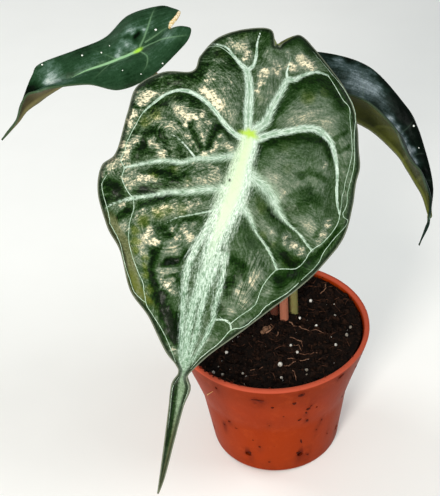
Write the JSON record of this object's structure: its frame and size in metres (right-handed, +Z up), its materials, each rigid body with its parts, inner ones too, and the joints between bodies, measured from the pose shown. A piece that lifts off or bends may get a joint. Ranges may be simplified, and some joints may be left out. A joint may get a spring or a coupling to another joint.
{
  "type": "potted alocasia plant",
  "caption": "Potted house plant: arrow-shaped leaves with raised domes between pale ribs, on slim curved stems in dark soil, in a flared round nursery pot that stands on its flat base.",
  "frame": {"origin": "centre of the pot's flat underside, on the surface that it stands on", "axes": "+Z up along the pot's axis; the large front leaf shows its upper face towards -Y, the small smooth leaf is on the -X side and the folded leaf on the +X side"},
  "size_m": [0.1846, 0.1357, 0.2066],
  "materials": {
    "pot": "satin terracotta orange plastic, thin wall",
    "soil": "moist peat and bark soil with pale perlite beads",
    "stem_pink": "smooth living leaf stem, salmon pink at the foot",
    "stem_green": "smooth living leaf stem, olive green",
    "leaf_front": "glossy dark green living leaf with raised domes and minty white ribs",
    "leaf_side": "glossy dark green living leaf, olive underneath"
  },
  "bodies": {
    "root": {"pot": "pot", "soil": "soil", "stem_front": "stem_pink", "stem_left": "stem_pink", "stem_right": "stem_green", "leaf_front": "leaf_front", "leaf_left": "leaf_side", "leaf_right": "leaf_side"}
  },
  "joints": []
}
